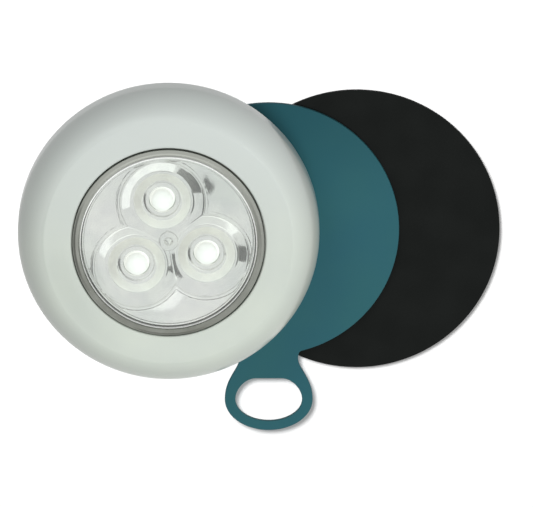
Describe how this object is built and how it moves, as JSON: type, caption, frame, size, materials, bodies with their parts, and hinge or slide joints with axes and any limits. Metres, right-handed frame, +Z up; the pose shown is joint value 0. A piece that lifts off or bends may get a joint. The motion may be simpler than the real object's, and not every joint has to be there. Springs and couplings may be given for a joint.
{
  "type": "battery push light",
  "caption": "Round battery push light with a silver ring and a clear lens, on a hanger disc with a loop and an adhesive magnetic wall pad.",
  "frame": {"origin": "centre of the wall pad's back face", "axes": "+X right, +Y into the wall, +Z up; the lamp faces -Y"},
  "size_m": [0.1081, 0.0284, 0.084],
  "materials": {
    "adhesive_film": "matte adhesive film",
    "black_rubber": "matte, fine grain",
    "teal_coating": "satin",
    "silver_paint": "satin metallic paint",
    "grey_plastic": "fine moulded texture",
    "nickel_plate": "bright plated",
    "smoked_rim": "glossy",
    "clear_acrylic": "clear, polished",
    "mirror_coating": "vacuum-metallised mirror",
    "green_board": "satin solder mask",
    "resistor_body": "satin",
    "dark_plastic": "matte",
    "red_lead": "satin insulation",
    "black_lead": "satin insulation",
    "grey_lead": "satin insulation",
    "nickel_strip": "nickel plated",
    "spring_steel": "drawn wire",
    "screw_steel": "zinc plated",
    "cell_jacket": "printed jacket",
    "diode_resin": "clear resin, lit"
  },
  "bodies": {
    "pad": {"mounting_pad": "black_rubber", "pad_film": "adhesive_film"},
    "hanger": {"hanger_disc": "teal_coating"},
    "lamp": {"front_cover": "silver_paint", "rear_casing": "grey_plastic", "plus_contact": "nickel_strip", "minus_contact": "nickel_strip", "bridge_contact_left": "nickel_strip", "bridge_contact_right": "nickel_strip", "battery_1": "cell_jacket", "battery_2": "cell_jacket", "battery_3": "cell_jacket", "cover_screw_1": "screw_steel", "cover_screw_2": "screw_steel", "cover_screw_3": "screw_steel", "cover_screw_4": "screw_steel", "return_spring_upper": "spring_steel", "return_spring_lower": "spring_steel", "switch_body": "dark_plastic", "lead_red": "red_lead", "lead_black": "black_lead", "lead_grey": "grey_lead"},
    "button": {"button_carrier": "smoked_rim", "lens_cover": "clear_acrylic", "reflector": "mirror_coating", "diode_board": "green_board", "diode_1": "diode_resin", "diode_2": "diode_resin", "diode_3": "diode_resin", "series_resistor": "resistor_body"},
    "plunger": {"switch_plunger": "dark_plastic"},
    "rear_cover": {"battery_cover": "grey_plastic", "base_magnet": "nickel_plate"}
  },
  "joints": [
    {"name": "hanger_shift", "type": "slide", "parent": "pad", "child": "hanger", "axis": [0.9998, 0, -0.0203], "range_m": [0, 0.0197]},
    {"name": "lamp_shift", "type": "slide", "parent": "hanger", "child": "lamp", "axis": [0.9887, 0, -0.1501], "range_m": [0, 0.02265]},
    {"name": "button_press", "type": "slide", "parent": "lamp", "child": "button", "axis": [0, 1, 0], "range_m": [0, 0.0009], "stiffness_N_per_m": 400, "springref_m": -0.004, "deforming": ["return_spring_upper", "return_spring_lower"]},
    {"name": "plunger_press", "type": "slide", "parent": "lamp", "child": "plunger", "axis": [0, 1, 0], "range_m": [0, 0.0009]},
    {"name": "cover_twist", "type": "hinge", "parent": "lamp", "child": "rear_cover", "pos_m": [-0.0421, -0.0038, 0.0038], "axis": [0, -1, 0], "range_deg": [0, 30]}
  ],
  "couplings": [
    {"joint": "plunger_press", "follows": "button_press", "ratio": 1}
  ]
}
